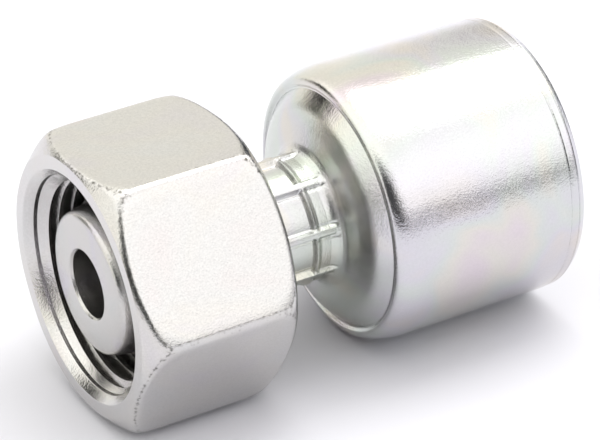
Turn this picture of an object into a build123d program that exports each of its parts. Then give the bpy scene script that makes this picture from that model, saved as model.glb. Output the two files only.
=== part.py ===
from build123d import *
import os
from math import cos, radians, sin, tan

# The fitting lies on its side along X, nose towards -X and hose end towards +X.
# The origin is the centre of the nose face, and one flat of the nut faces down.
# Angles are in degrees and all lengths in millimetres.

# Swivel nut, for a metric light-series stud end
nut_across_flats = 27.0
nut_length = 17.0
nut_overhang = 1.0            # how far the nut's face stands ahead of the nose
nut_corner_radius = 1.2       # rounding of the six long edges
nut_face_inset = 0.2          # edge of the flat front ring, in from the flats
nut_face_angle = 35.0         # front chamfer, from the face plane
nut_back_inset = 0.5
nut_back_angle = 30.0
nut_blend_depth = 0.7         # outer part of each chamfer, steeper, in from the long edges
nut_blend_angle = 70.0
thread_major = 22.0
thread_pitch = 1.5
mouth_diameter = 23.8         # outer edge of the lead-in chamfer
seat_depth = 11.7             # from the nut's face to the start of its 45 degree seat
nut_back_clearance = 0.4      # between the nut's back bore and the neck
nut_bore_chamfer = 0.4

# Nipple: sealing nose, head that holds the nut, collar, stem and barbed hose tail
bore_diameter = 6.9
bore_chamfer = 0.25
nose_diameter = 14.3
nose_edge_chamfer = 0.2
cone_half_angle = 12.0
head_diameter = 17.3
seat_gap = 0.2                # axial play between the nut's seat and the head
collar_length = 1.1           # plain land that the shell's neck butts against
stem_diameter = 10.4
lock_groove_depth = 0.5
lock_groove_margin = 1.0      # groove ends inside the front row of jaw marks
tail_setback = 1.3            # tail end inside the shell's open end
tail_end_chamfer = 0.5
barb_diameter = 9.9
barb_depth = 0.45
barb_pitch = 3.6
barb_land = 0.8
barb_count = 4
barb_end_margin = 2.2         # plain run behind the last barb

# O-ring in the sealing cone
oring_inner_diameter = 12.0
oring_section = 2.0
oring_setback = 3.35          # the ring's middle plane behind the nose face
oring_groove_width = 2.3
oring_groove_clearance = 0.03

# Shell: neck crimped onto the stem, domed front wall, hose socket
shell_diameter = 28.6
shell_wall = 3.1
shell_length = 33.2           # from the neck's front face to the open end
neck_diameter = 13.4
neck_foot_chamfer = 0.3
neck_front_margin = 1.0       # plain land ahead of the jaw marks
front_row_length = 5.6        # deeper row of jaw marks, next to the nut
front_row_depth = 0.6
back_row_length = 1.2
back_row_depth = 0.3
row_ramp = 0.8                # slope behind each row
ridge_width = 0.8             # metal left standing between two jaws
jaw_count = 8
jaw_turn = 9.0                # turn of the jaw marks about the axis
neck_back_land = 0.35         # between the jaw marks and the dome's foot
dome_rise = 2.3               # foot of the dome to the crease, along the axis
dome_bulge = 0.2
crease_inset = 1.85           # in from the shell's outside
rim_lead = 0.3                # the rim's front edge ahead of the crease
rim_front_inset = 1.35
shoulder_length = 3.7
shoulder_steps = 4
floor_thickness = 2.8         # crease to the socket's floor
socket_corner_chamfer = 1.0
tooth_depth = 0.5
tooth_pitch = 3.6
tooth_count = 4
tooth_start = 1.8             # plain run between the socket's floor and the first tooth
end_band_length = 1.6
end_band_drop = 0.12
end_edge_chamfer = 0.3
socket_mouth_chamfer = 0.7

# Stations along X that the pieces share
thread_minor = thread_major - 1.0825 * thread_pitch
nut_face_x = -nut_overhang
nut_back_x = nut_face_x + nut_length
seat_x = nut_face_x + seat_depth
head_back_x = seat_x + (thread_minor - head_diameter) / 2 - seat_gap
collar_x = head_back_x + (head_diameter - neck_diameter) / 2
shell_front_x = collar_x + collar_length
shell_end_x = shell_front_x + shell_length
front_row_x = shell_front_x + neck_front_margin
front_row_end_x = front_row_x + front_row_length
back_row_x = front_row_end_x + row_ramp
back_row_end_x = back_row_x + back_row_length
jaws_end_x = back_row_end_x + row_ramp
dome_foot_x = jaws_end_x + neck_back_land
crease_x = dome_foot_x + dome_rise
rim_front_x = crease_x - rim_lead
socket_floor_x = crease_x + floor_thickness
tail_end_x = shell_end_x - tail_setback

# The lock groove in the stem, which the neck's inner wall is pressed into
stem_radius = stem_diameter / 2
groove_start_x = front_row_x + lock_groove_margin
groove_end_x = front_row_end_x - lock_groove_margin
lock_profile = [
    (shell_front_x, stem_radius),
    (groove_start_x, stem_radius),
    (groove_start_x + lock_groove_depth, stem_radius - lock_groove_depth),
    (groove_end_x - lock_groove_depth, stem_radius - lock_groove_depth),
    (groove_end_x, stem_radius),
    (socket_floor_x, stem_radius),
]


def cone_radius(x):
    """Radius of the sealing cone at a station behind the nose face."""
    return nose_diameter / 2 + x * tan(radians(cone_half_angle))


# Swivel nut: a rounded hexagon turned down at both ends
nut_flat_radius = nut_across_flats / 2
nut_edge_reach = (nut_flat_radius - nut_corner_radius) / cos(radians(30)) + nut_corner_radius
nut_reach = nut_edge_reach * 1.05         # clear of the hexagon's corners
nut_face_radius = nut_flat_radius - nut_face_inset
nut_back_radius = nut_flat_radius - nut_back_inset
nut_blend_radius = nut_edge_reach - nut_blend_depth
nut_blend = (nut_reach - nut_blend_radius) * tan(radians(nut_blend_angle))
face_blend_x = nut_face_x + (nut_blend_radius - nut_face_radius) * tan(radians(nut_face_angle))
back_blend_x = nut_back_x - (nut_blend_radius - nut_back_radius) * tan(radians(nut_back_angle))
mouth_chamfer = (mouth_diameter - thread_minor) / 2
nut_back_bore = neck_diameter + 2 * nut_back_clearance
seat_end_x = seat_x + (thread_minor - nut_back_bore) / 2

with BuildPart() as nut:
    with BuildSketch(Plane.YZ.offset(nut_face_x)) as hexagon:
        RegularPolygon(nut_flat_radius, 6, major_radius=False)
        fillet(hexagon.vertices(), nut_corner_radius)
    extrude(amount=nut_length)
    with BuildSketch(Plane.XY):
        with BuildLine():
            Polyline(
                (nut_face_x, 0),
                (nut_face_x, nut_face_radius),
                (face_blend_x, nut_blend_radius),
                (face_blend_x + nut_blend, nut_reach),
                (back_blend_x - nut_blend, nut_reach),
                (back_blend_x, nut_blend_radius),
                (nut_back_x, nut_back_radius),
                (nut_back_x, 0),
                close=True,
            )
        make_face()
    revolve(axis=Axis.X, mode=Mode.INTERSECT)
    with BuildSketch(Plane.XY):
        with BuildLine():
            Polyline(
                (nut_face_x, 0),
                (nut_face_x, mouth_diameter / 2),
                (nut_face_x + mouth_chamfer, thread_minor / 2),
                (seat_x, thread_minor / 2),
                (seat_end_x, nut_back_bore / 2),
                (nut_back_x - nut_bore_chamfer, nut_back_bore / 2),
                (nut_back_x, nut_back_bore / 2 + nut_bore_chamfer),
                (nut_back_x, 0),
                close=True,
            )
        make_face()
    revolve(axis=Axis.X, mode=Mode.SUBTRACT)

# Nipple: one turned piece from the nose to the end of the hose tail
bore_radius = bore_diameter / 2
head_radius = head_diameter / 2
head_start_x = (head_radius - nose_diameter / 2) / tan(radians(cone_half_angle))
ring_groove_x = oring_setback - oring_groove_width / 2
ring_groove_end_x = oring_setback + oring_groove_width / 2
ring_groove_radius = oring_inner_diameter / 2 - oring_groove_clearance
barb_radius = barb_diameter / 2
barb_root = barb_radius - barb_depth
first_barb_x = tail_end_x - barb_end_margin - barb_count * barb_pitch

with BuildPart() as nipple:
    with BuildSketch(Plane.XY):
        with BuildLine():
            nose_profile = [
                (0, bore_radius + bore_chamfer),
                (0, nose_diameter / 2 - nose_edge_chamfer),
                (nose_edge_chamfer, cone_radius(nose_edge_chamfer)),
                (ring_groove_x, cone_radius(ring_groove_x)),
                (ring_groove_x, ring_groove_radius),
                (ring_groove_end_x, ring_groove_radius),
                (ring_groove_end_x, cone_radius(ring_groove_end_x)),
                (head_start_x, head_radius),
                (head_back_x, head_radius),
                (collar_x, neck_diameter / 2),
                (shell_front_x, neck_diameter / 2),
            ]
            barb_profile = [(socket_floor_x, barb_root)]
            for i in range(barb_count):
                barb_x = first_barb_x + i * barb_pitch
                barb_profile += [
                    (barb_x, barb_root),
                    (barb_x, barb_radius),
                    (barb_x + barb_land, barb_radius),
                ]
            tail_profile = [
                (first_barb_x + barb_count * barb_pitch, barb_root),
                (tail_end_x - tail_end_chamfer, barb_root),
                (tail_end_x, barb_root - tail_end_chamfer),
                (tail_end_x, bore_radius + bore_chamfer),
                (tail_end_x - bore_chamfer, bore_radius),
                (bore_chamfer, bore_radius),
            ]
            Polyline(*nose_profile, *lock_profile, *barb_profile, *tail_profile, close=True)
        make_face()
    revolve(axis=Axis.X)

# O-ring, resting on the floor of its groove; its round section has eight sides
oring_centre_radius = oring_inner_diameter / 2 + oring_section / 2
with BuildPart() as o_ring:
    with BuildSketch(Plane.XY):
        with Locations((oring_setback, oring_centre_radius)):
            RegularPolygon(oring_section / 2, 8, rotation=180 / 8)
    revolve(axis=Axis.X)

# Shell: one turned piece, its neck marked by the crimping jaws
shell_radius = shell_diameter / 2
socket_radius = shell_radius - shell_wall
neck_radius = neck_diameter / 2
front_row_radius = neck_radius - front_row_depth
back_row_radius = neck_radius - back_row_depth
crease_radius = shell_radius - crease_inset
rim_front_radius = shell_radius - rim_front_inset
dome_mid = ((dome_foot_x + crease_x - dome_bulge) / 2, (neck_radius + crease_radius + dome_bulge) / 2)
shoulder_x = rim_front_x + shoulder_length
end_band_x = shell_end_x - end_band_length
first_tooth_x = socket_floor_x + tooth_start

# quarter of an ellipse in a few flats, from the rim's front edge to the cylinder
shoulder_profile = []
for i in range(shoulder_steps + 1):
    turn = radians(90 * i / shoulder_steps)
    shoulder_profile.append((
        shoulder_x - shoulder_length * cos(turn),
        rim_front_radius + (shell_radius - rim_front_radius) * sin(turn),
    ))

with BuildPart() as shell:
    with BuildSketch(Plane.XY) as shell_section:
        with BuildLine():
            Polyline(
                (shell_front_x, stem_radius),
                (shell_front_x, neck_radius),
                (front_row_x, neck_radius),
                (front_row_x, front_row_radius),
                (front_row_end_x, front_row_radius),
                (back_row_x, back_row_radius),
                (back_row_end_x, back_row_radius),
                (jaws_end_x, neck_radius),
                (dome_foot_x, neck_radius),
            )
            Polyline(
                (dome_foot_x, neck_radius),
                dome_mid,
                (crease_x, crease_radius),
                *shoulder_profile,
                (end_band_x, shell_radius),
                (shell_end_x, shell_radius - end_band_drop),
                (shell_end_x, socket_radius + socket_mouth_chamfer),
                (shell_end_x - socket_mouth_chamfer, socket_radius),
            )
            tooth_profile = [
                (shell_end_x - socket_mouth_chamfer, socket_radius),
                (first_tooth_x + tooth_count * tooth_pitch, socket_radius),
            ]
            for i in reversed(range(tooth_count)):
                tooth_x = first_tooth_x + i * tooth_pitch
                tooth_profile += [(tooth_x, socket_radius - tooth_depth), (tooth_x, socket_radius)]
            Polyline(*tooth_profile, (socket_floor_x, socket_radius), *reversed(lock_profile))
        make_face()
        corners = shell_section.vertices()
        chamfer(corners.sort_by_distance((dome_foot_x, neck_radius))[0], neck_foot_chamfer)
        corners = shell_section.vertices()
        chamfer(corners.sort_by_distance((socket_floor_x, socket_radius))[0], socket_corner_chamfer)
        corners = shell_section.vertices()
        end_corner = (shell_end_x, shell_radius - end_band_drop)
        chamfer(corners.sort_by_distance(end_corner)[0], end_edge_chamfer)
    revolve(axis=Axis.X)
    # ridges that stood between the jaws
    with BuildSketch(Plane.YZ.offset(front_row_x)):
        with PolarLocations(0, jaw_count, start_angle=180 / jaw_count + jaw_turn):
            Rectangle(neck_radius, ridge_width, align=(Align.MIN, Align.CENTER))
        Circle(neck_radius, mode=Mode.INTERSECT)
        Circle(front_row_radius - lock_groove_depth, mode=Mode.SUBTRACT)
    extrude(amount=jaws_end_x - front_row_x)

os.makedirs("parts", exist_ok=True)
pieces = {"nut": nut, "nipple": nipple, "o_ring": o_ring, "shell": shell}
for name, piece in pieces.items():
    piece.part.label = name
    export_step(piece.part, f"parts/{name}.step")
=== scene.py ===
import math

import bpy
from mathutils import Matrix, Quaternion, Vector


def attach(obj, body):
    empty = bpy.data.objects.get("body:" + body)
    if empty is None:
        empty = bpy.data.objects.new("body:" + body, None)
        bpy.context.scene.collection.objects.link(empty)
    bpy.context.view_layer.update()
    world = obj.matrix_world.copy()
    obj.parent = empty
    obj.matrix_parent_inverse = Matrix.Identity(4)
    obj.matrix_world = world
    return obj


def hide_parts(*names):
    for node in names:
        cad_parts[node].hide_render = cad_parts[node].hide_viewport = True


# A crimp hose fitting: swivel nut, nipple, O-ring and crimped shell.
# Drawn in millimetres along X, as the CAD frame is: nose towards -X, hose end towards +X.
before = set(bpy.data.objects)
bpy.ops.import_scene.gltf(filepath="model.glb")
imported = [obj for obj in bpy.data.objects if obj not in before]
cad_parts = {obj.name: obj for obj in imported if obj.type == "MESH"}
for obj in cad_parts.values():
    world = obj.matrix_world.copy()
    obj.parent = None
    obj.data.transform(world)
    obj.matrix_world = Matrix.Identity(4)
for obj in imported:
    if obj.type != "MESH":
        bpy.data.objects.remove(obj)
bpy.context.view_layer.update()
mm = 0.001
print("frame loaded:", sorted(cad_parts))


def linear(hexColour):
    # sRGB hex to the linear values that the shader wants
    parts = [int(hexColour[i:i + 2], 16) / 255 for i in (1, 3, 5)]
    return [p / 12.92 if p <= 0.04045 else ((p + 0.055) / 1.055) ** 2.4 for p in parts] + [1.0]


def addNode(tree, kind, settings=None, links=None):
    # one node, with its settings and sockets by name or number, and its links as socket: (node, output)
    node = tree.nodes.new(kind)
    for name, value in (settings or {}).items():
        if isinstance(name, str) and hasattr(node, name):
            setattr(node, name, value)
        else:
            node.inputs[name].default_value = value
    for name, (source, output) in (links or {}).items():
        tree.links.new(source.outputs[output], node.inputs[name])
    return node


def deselectAll():
    if bpy.context.object and bpy.context.object.mode != "OBJECT":
        bpy.ops.object.mode_set(mode="OBJECT")
    bpy.ops.object.select_all(action="DESELECT")


def soften(corners, segments=6):
    # corners are (x, radius, rounding); each rounding becomes a short arc
    points = []
    count = len(corners)
    for i, (x, r, rounding) in enumerate(corners):
        here = Vector((x, r))
        back = Vector(corners[i - 1][:2]) - here
        ahead = Vector(corners[(i + 1) % count][:2]) - here
        if rounding <= 0 or i in (0, count - 1):
            points.append((x, r))
            continue
        half = back.angle(ahead) / 2
        reach = min(rounding / math.tan(half), back.length * 0.49, ahead.length * 0.49)
        radius = reach * math.tan(half)
        centre = here + (back.normalized() + ahead.normalized()).normalized() * (radius / math.sin(half))
        start = here + back.normalized() * reach - centre
        end = here + ahead.normalized() * reach - centre
        sweep = start.angle_signed(end)
        for step in range(segments + 1):
            turnBy = -sweep * step / segments
            c, s = math.cos(turnBy), math.sin(turnBy)
            points.append((centre.x + c * start.x - s * start.y, centre.y + s * start.x + c * start.y))
    return points


def turnOnLathe(name, profile, steps):
    # a closed profile, drawn point by point and spun round the X axis
    deselectAll()
    bpy.ops.mesh.primitive_plane_add(size=1 * mm, location=(0, 0, 0))
    piece = bpy.context.object
    piece.name = name
    bpy.ops.object.mode_set(mode="EDIT")
    bpy.ops.mesh.select_all(action="SELECT")
    bpy.ops.mesh.merge(type="CENTER")
    x, r = profile[0]
    bpy.ops.transform.translate(value=(x * mm, 0, r * mm))
    for nextX, nextR in profile[1:] + profile[:1]:
        step = ((nextX - x) * mm, 0, (nextR - r) * mm)
        bpy.ops.mesh.extrude_vertices_move(TRANSFORM_OT_translate={"value": step})
        x, r = nextX, nextR
    bpy.ops.mesh.select_all(action="SELECT")
    bpy.ops.mesh.remove_doubles(threshold=0.0005 * mm)
    bpy.ops.mesh.spin(steps=steps, angle=math.tau, use_auto_merge=True, center=(0, 0, 0), axis=(1, 0, 0))
    bpy.ops.mesh.select_all(action="SELECT")
    bpy.ops.mesh.remove_doubles(threshold=0.0005 * mm)
    bpy.ops.mesh.normals_make_consistent(inside=False)
    bpy.ops.object.mode_set(mode="OBJECT")
    return piece


def finishPiece(piece, body, node, material, sharpAngle=40):
    # smooth shading, place in the frame, and the CAD node that the piece stands for
    deselectAll()
    piece.select_set(True)
    bpy.context.view_layer.objects.active = piece
    bpy.ops.object.shade_smooth_by_angle(angle=math.radians(sharpAngle))
    bpy.ops.object.transform_apply(location=True, rotation=True, scale=True)
    piece.data.materials.clear()
    piece.data.materials.append(material)
    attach(piece, body)
    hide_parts(node)
    print(piece.name, "done,", len(piece.data.polygons), "faces")


def makePlating(name, look):
    # zinc plating on steel: a bright metal with a fine satin grain and a faint rainbow film
    material = bpy.data.materials.new(name)
    material.use_nodes = True
    tree = material.node_tree
    tree.nodes.clear()
    place = addNode(tree, "ShaderNodeTexCoord")
    grain = addNode(tree, "ShaderNodeTexNoise",
                    {"Scale": 1 / (look["grainSize"] * mm), "Detail": 2.0, "Roughness": 0.75},
                    {"Vector": (place, "Object")})
    cloud = addNode(tree, "ShaderNodeTexNoise",
                    {"Scale": 1 / (look["cloudSize"] * mm), "Detail": 4.0, "Roughness": 0.55},
                    {"Vector": (place, "Object")})
    film = addNode(tree, "ShaderNodeTexNoise",
                   {"Scale": 1 / (look["filmSize"] * mm), "Detail": 2.0, "Roughness": 0.5,
                    "Distortion": 0.6},
                   {"Vector": (place, "Object")})
    tint = addNode(tree, "ShaderNodeValToRGB", links={"Fac": (film, "Fac")})
    ramp = tint.color_ramp
    colours = look["filmColours"]
    while len(ramp.elements) < len(colours):
        ramp.elements.new(0.5)
    for i, colour in enumerate(colours):
        ramp.elements[i].position = 0.3 + 0.4 * i / (len(colours) - 1)
        ramp.elements[i].color = linear(colour)
    base = addNode(tree, "ShaderNodeMix",
                   {"data_type": "RGBA", 0: look["filmShare"], 6: linear(look["colour"])},
                   {7: (tint, "Color")})
    speck = addNode(tree, "ShaderNodeMapRange",
                    {"From Min": 0.35, "From Max": 0.65, "To Min": 1 - look["speckle"], "To Max": 1.0},
                    {"Value": (grain, "Fac")})
    dusty = addNode(tree, "ShaderNodeMix",
                    {"data_type": "RGBA", "blend_type": "MULTIPLY", 0: 1.0},
                    {6: (base, 2), 7: (speck, "Result")})
    rough = addNode(tree, "ShaderNodeMapRange",
                    {"From Min": 0.3, "From Max": 0.7,
                     "To Min": look["roughness"] - look["roughnessSpread"],
                     "To Max": look["roughness"] + look["roughnessSpread"]},
                    {"Value": (cloud, "Fac")})
    surface, surfaceRough = (dusty, 2), (rough, "Result")
    wearAndReflectionMask = None
    if "wornX" in look:
        # where the crimping jaws have worked, the plating is duller and faintly green
        along = addNode(tree, "ShaderNodeSeparateXYZ", links={"Vector": (place, "Object")})
        share = addNode(tree, "ShaderNodeMapRange",
                        {"From Min": look["wornX"][1] * mm, "From Max": look["wornX"][0] * mm},
                        {"Value": (along, "X")})
        wearAndReflectionMask = (share, "Result")
    if "wearAndPaintedReflectionEdges" in look:
        # small dark chips along the pressed edges, together with a painted dark reflection along the same
        # edges
        edges = addNode(tree, "ShaderNodeAttribute", {"attribute_name": look["wearAndPaintedReflectionEdges"]})
        chips = addNode(tree, "ShaderNodeTexNoise",
                        {"Scale": 1 / (look["chipSize"] * mm), "Detail": 2.0, "Roughness": 0.6},
                        {"Vector": (place, "Object")})
        level = addNode(tree, "ShaderNodeMath", {"operation": "ADD"},
                        {0: (edges, "Fac"), 1: (chips, "Fac")})
        share = addNode(tree, "ShaderNodeMapRange",
                        {"From Min": look["wearAndReflectionFrom"], "From Max": look["wearAndReflectionFull"]},
                        {"Value": (level, "Value")})
        wearAndReflectionMask = (share, "Result")
    # darkens and dulls the plating where the mask is high: real wear, and on the nut's pressed edges also a
    # painted dark reflection
    if wearAndReflectionMask:
        greyed = addNode(tree, "ShaderNodeMix",
                         {"data_type": "RGBA", "blend_type": "MULTIPLY", 7: linear(look["wearAndReflectionTint"])},
                         {0: wearAndReflectionMask, 6: surface})
        dulled = addNode(tree, "ShaderNodeMath",
                         {"operation": "MULTIPLY_ADD", 1: look["wornRoughness"]},
                         {0: wearAndReflectionMask, 2: surfaceRough})
        surface, surfaceRough = (greyed, 2), (dulled, "Value")
    height = addNode(tree, "ShaderNodeMath", {"operation": "ADD"},
                     {0: (grain, "Fac"), 1: (cloud, "Fac")})
    bump = addNode(tree, "ShaderNodeBump",
                   {"Strength": 1.0, "Distance": look["grainHeight"] * mm},
                   {"Height": (height, "Value")})
    shader = addNode(tree, "ShaderNodeBsdfPrincipled", {"Metallic": 1.0},
                     {"Base Color": surface, "Roughness": surfaceRough, "Normal": (bump, "Normal")})
    addNode(tree, "ShaderNodeOutputMaterial", links={"Surface": (shader, "BSDF")})
    return material


# bright zinc on cold-forged steel: cool white metal, satin, with a grain like very fine frost
nutPlating = makePlating("zincOnForgedSteel", {
    "colour": "#cfcdcb",
    "filmColours": ["#cbc5d0", "#d2cfc9", "#cdd0d2", "#d1c8cb"],
    "filmShare": 0.25,
    "filmSize": 9.0,        # width of one tint in the film
    "grainSize": 0.2,       # real crystals are near 0.02 mm; drawn coarser so that they show
    "grainHeight": 0.032,
    "cloudSize": 1.2,       # uneven patches that the plating bath leaves
    "roughness": 0.1,
    "roughnessSpread": 0.03,
    "speckle": 0.1,
    # the pressed edges are darkened: partly real wear and chips, partly a painted dark reflection
    "wearAndPaintedReflectionEdges": "edgeWearAndPaintedReflection",
    "chipSize": 0.4,        # drawn about twice as coarse as the real chips
    "wearAndReflectionFrom": 1.36,       # edge mask and chip noise together, where the darkening (wear and painted dark reflection) starts and is full
    "wearAndReflectionFull": 1.66,
    "wearAndReflectionTint": "#7f7e79",
    "wornRoughness": 0.12,
})

# the same plating on turned steel: a little duller, grey-lilac
nipplePlating = makePlating("zincOnTurnedSteel", {
    "colour": "#bebcc0",
    "filmColours": ["#c8c4cd", "#cdcbc4", "#c7cac5"],
    "filmShare": 0.6,
    "filmSize": 6.0,
    "grainSize": 0.2,
    "grainHeight": 0.03,
    "cloudSize": 1.0,
    "roughness": 0.22,
    "roughnessSpread": 0.03,
    "speckle": 0.12,
})

# the same plating on the drawn shell: smoother and brighter, with pink and green in the film
shellPlating = makePlating("zincOnDrawnSteel", {
    "colour": "#d2cfce",
    "filmColours": ["#d2c4ce", "#d4d1c6", "#c6d0cc", "#c9c8d4", "#d4ccc6"],
    "filmShare": 0.55,
    "filmSize": 11.0,
    "grainSize": 0.2,
    "grainHeight": 0.026,
    "cloudSize": 1.4,
    "roughness": 0.06,
    "roughnessSpread": 0.02,
    "speckle": 0.06,
    "wornX": (25.6, 27.6),  # dull up to the first, bright from the second
    "wearAndReflectionTint": "#fafcf6",
    "wornRoughness": 0.19,
})


def makeRubber(name, look):
    # moulded rubber: dark and dull, with a faint uneven bloom and a fine grained skin
    material = bpy.data.materials.new(name)
    material.use_nodes = True
    tree = material.node_tree
    tree.nodes.clear()
    place = addNode(tree, "ShaderNodeTexCoord")
    bloom = addNode(tree, "ShaderNodeTexNoise",
                    {"Scale": 1 / (look["bloomSize"] * mm), "Detail": 3.0},
                    {"Vector": (place, "Object")})
    skin = addNode(tree, "ShaderNodeTexNoise",
                   {"Scale": 1 / (look["skinSize"] * mm), "Detail": 1.0},
                   {"Vector": (place, "Object")})
    shade = addNode(tree, "ShaderNodeMix",
                    {"data_type": "RGBA", 6: linear(look["colour"]), 7: linear(look["bloomColour"])},
                    {0: (bloom, "Fac")})
    rough = addNode(tree, "ShaderNodeMapRange",
                    {"From Min": 0.3, "From Max": 0.7,
                     "To Min": look["roughness"] - look["roughnessSpread"],
                     "To Max": look["roughness"] + look["roughnessSpread"]},
                    {"Value": (bloom, "Fac")})
    bump = addNode(tree, "ShaderNodeBump",
                   {"Strength": 1.0, "Distance": look["skinHeight"] * mm},
                   {"Height": (skin, "Fac")})
    shader = addNode(tree, "ShaderNodeBsdfPrincipled", {"IOR": look["ior"]},
                     {"Base Color": (shade, 2), "Roughness": (rough, "Result"), "Normal": (bump, "Normal")})
    addNode(tree, "ShaderNodeOutputMaterial", links={"Surface": (shader, "BSDF")})
    return material


# nitrile rubber, moulded: near black with a warm cast, dull
sealRubber = makeRubber("mouldedNitrileRubber", {
    "colour": "#261e1a",
    "bloomColour": "#322a26",
    "bloomSize": 1.5,
    "skinSize": 0.12,       # a moulded skin is near 0.03 mm; drawn coarser so that it shows
    "skinHeight": 0.01,
    "roughness": 0.55,
    "roughnessSpread": 0.07,
    "ior": 1.52,
})
print("materials made")

# Swivel nut: a turned blank with six flats pressed into it, then the thread cut
nut = {
    "faceX": -1.0,
    "backX": 16.0,
    "flatRadius": 13.5,
    "blankRadius": 15.75,
    "blankRows": (3.0, 5.5, 8.0, 10.5, 12.3),
    "cornerRounding": 0.8,
    "cornerDraw": 0.65,      # how far the columns of faces are drawn to the corners
    "faceRadius": 13.3,
    "faceAngle": 35,         # front chamfer, from the face plane
    "backRadius": 13.0,
    "backAngle": 30,
    "coneTop": 14.35,        # radius where both chamfers begin to flatten out
    "coneFade": 1.1,         # and how soon they do
    "chamferStep": 0.08,     # distance between the rows of faces along them
    "chamferRows": 43,
    "pressRadius": 12.2,     # only what lies outside it is pressed
    "softness": 0.75,        # how softly flats and chamfers meet
    "wearAndReflectionRadius": 12.9,      # only what lies outside it gets the edge darkening, wear and painted dark reflection
    "wearAndReflectionWidth": 1.1,
    "longEdgeWearAndReflection": 0.95,    # along the hexagon's long edges, against 1 at the chamfers
    "longEdgeWidth": 0.4,
    "mouthRadius": 11.9,
    "mouthLand": 11.12,      # short plain land between the two lead-in cones
    "mouthLandEndX": 0.22,
    "boreRadius": 10.188,
    "seatX": 10.7,
    "backBore": 7.1,
    "backBoreChamfer": 0.4,
    "steps": 360,
    "pitch": 1.5,
    "rootRadius": 11.0,
    "threadStart": -2.6,
    "threadTurns": 8,
    "threadSteps": 96,
    "cutterOverlap": 0.25,
}


def hexagonRadius(angle):
    # distance from the axis to the rounded hexagon, with corners at 0, 60, 120 degrees
    turned = abs((angle + math.pi / 6) % (math.pi / 3) - math.pi / 6)
    rounding = nut["cornerRounding"]
    centre = (nut["flatRadius"] - rounding) / math.cos(math.pi / 6)
    arcEnd = math.atan2(rounding * 0.5, centre + rounding * math.cos(math.pi / 6))
    if turned > arcEnd:
        return nut["flatRadius"] / math.cos(math.pi / 6 - turned)
    return centre * math.cos(turned) + math.sqrt(rounding ** 2 - (centre * math.sin(turned)) ** 2)


def softMinimum(a, b, k):
    near = max(k - abs(a - b), 0) / k
    return min(a, b) - near * near * k / 4


def chamferRadius(depth, startRadius, angle):
    # a cone at the chamfer's angle, which flattens out towards the hexagon's corners
    rise = 1 / math.tan(math.radians(angle))
    coneTop = nut["coneTop"]
    coneDepth = (coneTop - startRadius) / rise
    if depth < coneDepth:
        return startRadius + depth * rise
    fade = math.exp(-(depth - coneDepth) * nut["coneFade"])
    return coneTop + (nut["blankRadius"] - coneTop) * (1 - fade)


def chamferCurve(startX, startRadius, angle, direction):
    depths = [nut["chamferStep"] * i for i in range(1, nut["chamferRows"] + 1)]
    return [(startX + direction * depth, chamferRadius(depth, startRadius, angle)) for depth in depths]


def edgeWearAndPaintedReflection(x, y, z):
    # 1 on the line where a flat meets a chamfer, and less on the hexagon's long edges; it marks where the
    # plating is darkened, partly as wear and partly as a painted dark reflection
    radius = math.hypot(y, z)
    if radius < nut["wearAndReflectionRadius"]:
        return 0
    angle = math.atan2(z, y)
    turned = min(chamferRadius(x - nut["faceX"], nut["faceRadius"], nut["faceAngle"]),
                 chamferRadius(nut["backX"] - x, nut["backRadius"], nut["backAngle"]))
    atChamfer = max(1 - abs(turned - hexagonRadius(angle)) / nut["wearAndReflectionWidth"], 0)
    if turned <= radius:
        return atChamfer
    fromCorner = ((angle + math.pi / 6) % (math.pi / 3) - math.pi / 6) * radius
    width = nut["longEdgeWidth"]
    atLongEdge = max(1 - abs(fromCorner + width) / width, 0) * nut["longEdgeWearAndReflection"]
    return max(atChamfer, atLongEdge)


nutOutside = [(x, nut["blankRadius"]) for x in nut["blankRows"]]
nutBack = chamferCurve(nut["backX"], nut["backRadius"], nut["backAngle"], -1)
nutFront = chamferCurve(nut["faceX"], nut["faceRadius"], nut["faceAngle"], 1)
nutInside = soften([
    (nut["backX"], nut["backRadius"], 0),
    (nut["backX"], nut["backBore"] + nut["backBoreChamfer"], 0.1),
    (nut["backX"] - nut["backBoreChamfer"], nut["backBore"], 0.1),
    (nut["seatX"] + nut["boreRadius"] - nut["backBore"], nut["backBore"], 0.2),
    (nut["seatX"], nut["boreRadius"], 0.2),
    (nut["mouthLandEndX"] + nut["mouthLand"] - nut["boreRadius"], nut["boreRadius"], 0.05),
    (nut["mouthLandEndX"], nut["mouthLand"], 0.08),
    (nut["faceX"] + nut["mouthRadius"] - nut["mouthLand"], nut["mouthLand"], 0.12),
    (nut["faceX"], nut["mouthRadius"], 0.2),
    (nut["faceX"], nut["faceRadius"], 0),
], 3)
nutProfile = nutOutside + nutBack[::-1] + nutInside + nutFront
nutPiece = turnOnLathe("swivelNut", nutProfile, nut["steps"])

for vertex in nutPiece.data.vertices:
    x, y, z = (value / mm for value in vertex.co)
    radius = math.hypot(y, z)
    angle = math.atan2(z, y)
    angle -= nut["cornerDraw"] * math.sin(6 * angle) / 6
    if radius > nut["pressRadius"]:
        radius = softMinimum(radius, hexagonRadius(angle), nut["softness"])
    vertex.co = (x * mm, radius * math.cos(angle) * mm, radius * math.sin(angle) * mm)
print("nut blank pressed to six flats")

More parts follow.
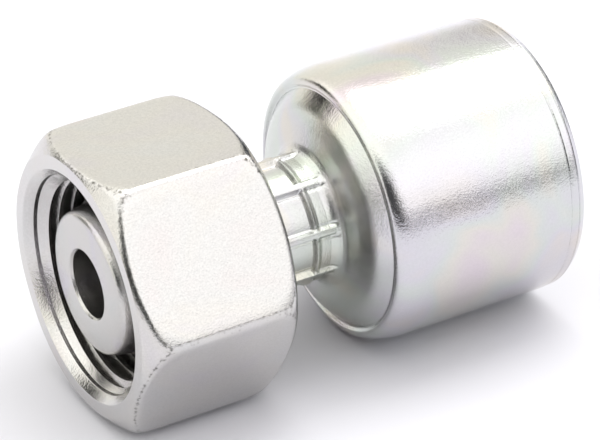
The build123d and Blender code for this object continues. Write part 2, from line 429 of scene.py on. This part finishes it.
# helical cutter with the thread's own section: 60 degree flanks and a root flat of an eighth of the pitch
slope = math.tan(math.radians(30))
rootHalf = nut["pitch"] / 16
innerRadius = nut["boreRadius"] - nut["cutterOverlap"]
innerHalf = rootHalf + (nut["rootRadius"] - innerRadius) * slope
deselectAll()
bpy.ops.mesh.primitive_plane_add(size=1 * mm, location=(0, 0, 0))
cutter = bpy.context.object
corners = [(-innerHalf, innerRadius), (innerHalf, innerRadius),
           (rootHalf, nut["rootRadius"]), (-rootHalf, nut["rootRadius"])]
ring = [cutter.data.vertices[i] for i in cutter.data.polygons[0].vertices]
for vertex, (x, r) in zip(ring, corners):
    vertex.co = ((x + nut["threadStart"]) * mm, 0, r * mm)
bpy.ops.object.mode_set(mode="EDIT")
bpy.ops.mesh.select_all(action="SELECT")
bpy.ops.mesh.delete(type="ONLY_FACE")
bpy.ops.object.mode_set(mode="OBJECT")
screw = cutter.modifiers.new("thread", "SCREW")
screw.axis = "X"
screw.angle = math.tau
screw.iterations = nut["threadTurns"]
screw.screw_offset = nut["pitch"] * mm
screw.steps = nut["threadSteps"]
screw.render_steps = nut["threadSteps"]
screw.use_merge_vertices = False
screw.use_smooth_shade = False
bpy.ops.object.modifier_apply(modifier="thread")
bpy.ops.object.mode_set(mode="EDIT")
bpy.ops.mesh.select_all(action="DESELECT")
bpy.ops.mesh.select_mode(type="EDGE")
bpy.ops.mesh.select_non_manifold(extend=False, use_wire=False, use_multi_face=False,
                                 use_non_contiguous=False, use_verts=False)
bpy.ops.mesh.edge_face_add()
bpy.ops.mesh.select_mode(type="VERT")
bpy.ops.mesh.select_all(action="SELECT")
bpy.ops.mesh.normals_make_consistent(inside=False)
bpy.ops.object.mode_set(mode="OBJECT")
deselectAll()
nutPiece.select_set(True)
bpy.context.view_layer.objects.active = nutPiece
cut = nutPiece.modifiers.new("threadCut", "BOOLEAN")
cut.operation = "DIFFERENCE"
cut.solver = "EXACT"
cut.object = cutter
bpy.ops.object.modifier_apply(modifier="threadCut")
bpy.data.objects.remove(cutter)

# edge mask for the darkened plating: real wear and a painted dark reflection
wearAndReflectionValues = nutPiece.data.attributes.new("edgeWearAndPaintedReflection", "FLOAT", "POINT")
for vertex in nutPiece.data.vertices:
    wearAndReflectionValues.data[vertex.index].value = edgeWearAndPaintedReflection(*[value / mm for value in vertex.co])
finishPiece(nutPiece, "swivel_nut", "nut", nutPlating, 32)

# Nipple: sealing nose, head, collar, stem and barbed hose tail
nipple = {
    "seamX": 20.0,
    "boreRadius": 3.45,
    "boreChamfer": (0.25, 0.2),     # length and height
    "noseFaceRadius": 7.13,
    "noseRounding": 0.7,
    "noseRadius": 7.15,
    "coneAngle": 12,
    "ringGroove": (2.2, 4.5, 5.97),     # start, end and floor radius
    "headRadius": 8.65,
    "headBackX": 12.038,
    "collarX": 13.988,
    "collarEndX": 15.088,
    "collarRadius": 6.7,
    "stemRadius": 5.2,
    "floorX": 29.938,
    "barbRadius": 4.95,
    "barbFoot": 4.505,
    "barbRoot": 4.5,
    "firstBarbX": 30.388,
    "barbPitch": 3.6,
    "barbLand": 0.8,
    "barbCount": 4,
    "endX": 46.988,
    "endChamfer": 0.5,
    "endBoreChamfer": 0.25,
    "steps": 180,
}
chamferLength, chamferHeight = nipple["boreChamfer"]
coneSlope = math.tan(math.radians(nipple["coneAngle"]))
grooveStart, grooveEnd, grooveRadius = nipple["ringGroove"]
headStartX = (nipple["headRadius"] - nipple["noseRadius"]) / coneSlope
nippleCorners = [
    (nipple["seamX"], nipple["boreRadius"], 0),
    (chamferLength, nipple["boreRadius"], 0.1),
    (0, nipple["boreRadius"] + chamferHeight, 0.08),
    (0, nipple["noseFaceRadius"], nipple["noseRounding"]),
    (grooveStart, nipple["noseRadius"] + grooveStart * coneSlope, 0.12),
    (grooveStart, grooveRadius, 0.1),
    (grooveEnd, grooveRadius, 0.1),
    (grooveEnd, nipple["noseRadius"] + grooveEnd * coneSlope, 0.12),
    (headStartX, nipple["headRadius"], 0.4),
    (nipple["headBackX"], nipple["headRadius"], 0.2),
    (nipple["collarX"], nipple["collarRadius"], 0.3),
    (nipple["collarEndX"], nipple["collarRadius"], 0.1),
    (nipple["collarEndX"], nipple["stemRadius"], 0),
    (nipple["floorX"], nipple["stemRadius"], 0.15),
    (nipple["floorX"], nipple["barbRoot"], 0.1),
]
for i in range(nipple["barbCount"]):
    barbX = nipple["firstBarbX"] + i * nipple["barbPitch"]
    nippleCorners += [
        (barbX, nipple["barbFoot"], 0.1),
        (barbX, nipple["barbRadius"], 0.1),
        (barbX + nipple["barbLand"], nipple["barbRadius"], 0.1),
    ]
tailRunX = nipple["firstBarbX"] + nipple["barbCount"] * nipple["barbPitch"]
nippleCorners += [
    (tailRunX, nipple["barbRoot"], 0.2),
    (nipple["endX"] - nipple["endChamfer"], nipple["barbRoot"], 0.2),
    (nipple["endX"], nipple["barbRoot"] - nipple["endChamfer"], 0.1),
    (nipple["endX"], nipple["boreRadius"] + nipple["endBoreChamfer"], 0.08),
    (nipple["endX"] - nipple["endBoreChamfer"], nipple["boreRadius"], 0.08),
]
nipplePiece = turnOnLathe("nipple", soften(nippleCorners, 4), nipple["steps"])
finishPiece(nipplePiece, "fitting", "nipple", nipplePlating)

# O-ring in the cone's groove
oRing = {"centreX": 3.35, "centreRadius": 7.0, "section": 2.0}
deselectAll()
bpy.ops.mesh.primitive_torus_add(
    major_radius=oRing["centreRadius"] * mm, minor_radius=oRing["section"] / 2 * mm,
    major_segments=128, minor_segments=24,
    location=(oRing["centreX"] * mm, 0, 0), rotation=(0, math.pi / 2, 0))
ringPiece = bpy.context.object
ringPiece.name = "oRing"
finishPiece(ringPiece, "fitting", "o_ring", sealRubber)

# Shell: crimped neck, domed front, rolled shoulder and hose socket
shell = {
    "seamX": 22.0,
    "frontX": 15.088,
    "stemRadius": 5.2,
    "neckRadius": 6.7,
    "neckRowStart": 0.3,
    "neckRowPitch": 0.108,
    "neckRowCount": 78,
    "frontRow": (16.088, 21.688, 0.6),      # start, end and depth of the jaw marks
    "backRow": (22.488, 23.688, 0.3),
    "rowStep": 0.3,
    "rowRamp": 0.8,
    "rowLand": 0.1,
    "rowLandHalf": 0.05,
    "jawCount": 8,
    "jawTurn": 9,            # degrees that the marks are turned about the axis
    "ridgeWidth": 0.8,
    "ridgeSide": 0.3,
    "edgeLine": (0.08, 0.28, 0.2),          # fine line beside each ridge: depth, distance, half width
    "footStart": (24.45, 6.7),
    "footEnd": (24.97, 7.4),
    "domeMid": (25.3, 9.3),
    "domeEdge": (25.85, 10.95),
    "crease": (27.138, 12.45),
    "rimX": 26.838,
    "rimRadius": 12.95,
    "shoulderLength": 3.7,
    "shoulderSteps": 16,
    "radius": 14.3,
    "bandX": 46.688,
    # fine lines turned at the open end: distance from bandX, depth and rounding
    "bandLines": [(-0.12, 0, 0.05), (0, 0.14, 0.05), (0.16, 0.05, 0.08),
                  (0.8, 0.07, 0.06), (0.9, 0.16, 0.05), (1.02, 0.1, 0.05)],
    "endX": 48.288,
    "endRadius": 14.2,
    "endChamfer": (0.6, 0.34),
    "socketRadius": 11.2,
    "socketChamfer": 0.7,
    "floorChamfer": 1.0,
    "floorX": 29.938,
    "firstToothX": 31.738,
    "toothPitch": 3.6,
    "toothDepth": 0.5,
    "toothCount": 4,
    "steps": 360,
}


def jawDepth(x):
    # how deep the jaws have pressed at a station along the neck
    start, end, depth = shell["frontRow"]
    backStart, backEnd, backDepth = shell["backRow"]
    step = shell["rowStep"]
    ramp = shell["rowRamp"]
    if x < start - step or x > backEnd + ramp:
        return 0
    if x < start:
        return depth * smoothStep((x - start + step) / step)
    if x < end:
        return depth
    if x < backStart:
        # a narrow land stands between the rows
        land = shell["rowLand"]
        wall = (backStart - end) / 2 - shell["rowLandHalf"]
        return max(land, depth + (land - depth) * rampStep((x - end) / wall),
                   backDepth + (land - backDepth) * rampStep((backStart - x) / wall))
    if x < backEnd:
        return backDepth
    return backDepth * (1 - rampStep((x - backEnd) / ramp))


def smoothStep(share):
    share = min(max(share, 0), 1)
    return share * share * (3 - 2 * share)


def rampStep(share):
    # straight slope with short round ends
    return 0.75 * min(max(share, 0), 1) + 0.25 * smoothStep(share)


shoulder = []
for i in range(shell["shoulderSteps"] + 1):
    turned = math.radians(90 * i / shell["shoulderSteps"])
    shoulder.append((shell["rimX"] + shell["shoulderLength"] * (1 - math.cos(turned)),
                     shell["rimRadius"] + (shell["radius"] - shell["rimRadius"]) * math.sin(turned)))
firstRowX = shell["frontX"] + shell["neckRowStart"]
neckRows = [(firstRowX + shell["neckRowPitch"] * i, shell["neckRadius"])
            for i in range(shell["neckRowCount"])]
shellFront = soften([
    (shell["seamX"], shell["stemRadius"], 0),
    (shell["frontX"], shell["stemRadius"], 0.1),
    (shell["frontX"], shell["neckRadius"], 0.22),
    neckRows[0] + (0,),
])
dome = soften([
    neckRows[-1] + (0,),
    shell["footStart"] + (0.9,),
    shell["footEnd"] + (1.2,),
    shell["domeMid"] + (6.0,),
    shell["domeEdge"] + (3.0,),
    shell["crease"] + (0.15,),
    shoulder[0] + (0.6,),
    shoulder[3] + (0,),
], 9)
teeth = []
for i in reversed(range(shell["toothCount"])):
    toothX = shell["firstToothX"] + i * shell["toothPitch"]
    teeth += [(toothX, shell["socketRadius"] - shell["toothDepth"], 0.08),
              (toothX, shell["socketRadius"], 0.08)]
bandLines = [(shell["bandX"] + along, shell["radius"] - depth, rounding)
             for along, depth, rounding in shell["bandLines"]]
endLength, endHeight = shell["endChamfer"]
socket = soften([
    shoulder[-1] + (0,),
    *bandLines,
    (shell["endX"] - endLength, shell["endRadius"], 0.1),
    (shell["endX"], shell["endRadius"] - endHeight, 0.12),
    (shell["endX"], shell["socketRadius"] + shell["socketChamfer"], 0.15),
    (shell["endX"] - shell["socketChamfer"], shell["socketRadius"], 0.15),
    (shell["firstToothX"] + shell["toothCount"] * shell["toothPitch"], shell["socketRadius"], 0.1),
    *teeth,
    (shell["floorX"] + shell["floorChamfer"], shell["socketRadius"], 0.2),
    (shell["floorX"], shell["socketRadius"] - shell["floorChamfer"], 0.2),
    (shell["floorX"], shell["stemRadius"], 0.1),
    (shell["seamX"], shell["stemRadius"], 0),
], 4)
# the dome's list already runs over the shoulder's first steps
shellProfile = shellFront[:-1] + neckRows + dome[1:-1] + shoulder[3:-1] + socket[:-1]
shellPiece = turnOnLathe("crimpedShell", shellProfile, shell["steps"])

jawPitch = math.tau / shell["jawCount"]
sideWidth = shell["ridgeSide"]
outside = (shell["stemRadius"] + shell["neckRadius"]) / 2
lineDepth, lineAway, lineHalf = shell["edgeLine"]
for vertex in shellPiece.data.vertices:
    x, y, z = (value / mm for value in vertex.co)
    radius = math.hypot(y, z)
    depth = jawDepth(x)
    if depth and radius > outside and x < shell["footEnd"][0]:
        offRidge = abs((math.atan2(z, y) - math.radians(shell["jawTurn"])) % jawPitch - jawPitch / 2)
        fromRidge = offRidge * radius - shell["ridgeWidth"] / 2
        pressed = depth * smoothStep((fromRidge + sideWidth / 2) / sideWidth)
        pressed += lineDepth * max(1 - abs(fromRidge - lineAway) / lineHalf, 0)
        scale = (radius - pressed) / radius
        vertex.co = (x * mm, y * scale * mm, z * scale * mm)
finishPiece(shellPiece, "fitting", "shell", shellPlating)

# Stage: pale floor, a pale tent round the object and a soft box overhead
floorPlace = {"size": 3000.0, "location": (23.0, 0, -14.31)}
deselectAll()
bpy.ops.mesh.primitive_plane_add(size=floorPlace["size"] * mm,
                                 location=[value * mm for value in floorPlace["location"]])
floor = bpy.context.object
floor.name = "studioFloor"
floorMaterial = bpy.data.materials.new("paleMattePaper")
floorMaterial.use_nodes = True
floorShader = floorMaterial.node_tree.nodes["Principled BSDF"]
floorShader.inputs["Base Color"].default_value = linear("#dcdce2")
floorShader.inputs["Roughness"].default_value = 1.0
floorShader.inputs["Specular IOR Level"].default_value = 0.0
floor.data.materials.append(floorMaterial)

# brightness of the tent by height above the horizon, 0 level and 1 overhead,
# with dark openings, the largest where the camera stands
tent = {
    "strength": 2.5,
    "behind": [(0.0, "#b9b7b1"), (0.62, "#b7b6b0"), (0.85, "#c5c4bd")],
    "infront": [(0.0, "#454544"), (0.05, "#4f4f4e"), (0.1, "#b0aeae"), (0.2, "#c6c5c4"),
                (0.42, "#d6d5d4"), (0.66, "#dad9d8"), (0.82, "#cfcdcd")],
    "left": [(0.0, "#bdbbb6"), (0.3, "#c6c5bf"), (0.6, "#d8d7d3"), (0.85, "#d9d8d4")],
    "frontFade": (0.25, -0.15),     # between these directions along Y it turns from behind to infront
    "leftFade": (-0.08, -0.28),     # and along X to left
    # direction of each opening, degrees from it where the dark ends and is full, colour
    "openings": [
        ((-0.66, -0.68, 0.34), (31, 18), "#363635"),
        ((-0.47, -0.87, 0.04), (28, 15), "#3a3a3a"),
        ((-0.93, -0.35, 0.13), (7, 3.5), "#303030"),
        ((-0.54, 0.8, 0.28), (18, 10), "#161616"),
        ((0.88, 0.45, 0.08), (35, 24), "#393c40"),
    ],
}
world = bpy.data.worlds.new("paleTent")
bpy.context.scene.world = world
world.use_nodes = True
tree = world.node_tree
tree.nodes.clear()
direction = addNode(tree, "ShaderNodeTexCoord")
split = addNode(tree, "ShaderNodeSeparateXYZ", links={"Vector": (direction, "Generated")})
sides = {}
for side in ("behind", "infront", "left"):
    ramp = addNode(tree, "ShaderNodeValToRGB", links={"Fac": (split, "Z")})
    while len(ramp.color_ramp.elements) < len(tent[side]):
        ramp.color_ramp.elements.new(0.5)
    for element, (position, colour) in zip(ramp.color_ramp.elements, tent[side]):
        element.position = position
        element.color = linear(colour)
    sides[side] = ramp
towardsFront = addNode(tree, "ShaderNodeMapRange",
                       {"From Min": tent["frontFade"][0], "From Max": tent["frontFade"][1]},
                       {"Value": (split, "Y")})
towardsLeft = addNode(tree, "ShaderNodeMapRange",
                      {"From Min": tent["leftFade"][0], "From Max": tent["leftFade"][1]},
                      {"Value": (split, "X")})
frontAndBehind = addNode(tree, "ShaderNodeMix", {"data_type": "RGBA"},
                         {0: (towardsFront, "Result"), 6: (sides["behind"], "Color"),
                          7: (sides["infront"], "Color")})
sky = addNode(tree, "ShaderNodeMix", {"data_type": "RGBA"},
              {0: (towardsLeft, "Result"), 6: (frontAndBehind, 2), 7: (sides["left"], "Color")})
for middle, edge, colour in tent["openings"]:
    nearness = addNode(tree, "ShaderNodeVectorMath",
                       {"operation": "DOT_PRODUCT", 1: Vector(middle).normalized()},
                       {0: (direction, "Generated")})
    outer, inner = [math.cos(math.radians(angle)) for angle in edge]
    darken = addNode(tree, "ShaderNodeMapRange", {"From Min": outer, "From Max": inner},
                     {"Value": (nearness, "Value")})
    sky = addNode(tree, "ShaderNodeMix", {"data_type": "RGBA", 7: linear(colour)},
                  {0: (darken, "Result"), 6: (sky, 2)})
glow = addNode(tree, "ShaderNodeBackground", {"Strength": tent["strength"]}, {"Color": (sky, 2)})
addNode(tree, "ShaderNodeOutputWorld", links={"Surface": (glow, "Background")})

softBox = {
    "place": (770.0, 120.0, 800.0),
    "size": (1600.0, 540.0),
    "power": 6.2,
}
bpy.ops.object.light_add(type="AREA", location=[value * mm for value in softBox["place"]])
boxLight = bpy.context.object
boxLight.name = "softBox"
boxLight.data.shape = "RECTANGLE"
boxLight.data.size, boxLight.data.size_y = [value * mm for value in softBox["size"]]
boxLight.data.energy = softBox["power"]
print("stage and lights set")

# Camera at the photograph's angle
cameraPlace = {
    "location": (-121.778, -266.707, 171.138),
    "back": (-0.41707, -0.76452, 0.49149),
    "roll": -2.61,
    "lens": 210.81,
}
bpy.ops.object.camera_add(location=[value * mm for value in cameraPlace["location"]])
camera = bpy.context.object
camera.name = "camera"
camera.data.lens = cameraPlace["lens"]
camera.data.sensor_width = 36
camera.data.clip_start = 0.01
camera.data.clip_end = 10
camera.rotation_mode = "QUATERNION"
level = (-Vector(cameraPlace["back"])).to_track_quat("-Z", "Y")
camera.rotation_quaternion = level @ Quaternion((0, 0, 1), math.radians(cameraPlace["roll"]))
bpy.context.scene.camera = camera
bpy.context.scene.view_settings.view_transform = "Standard"
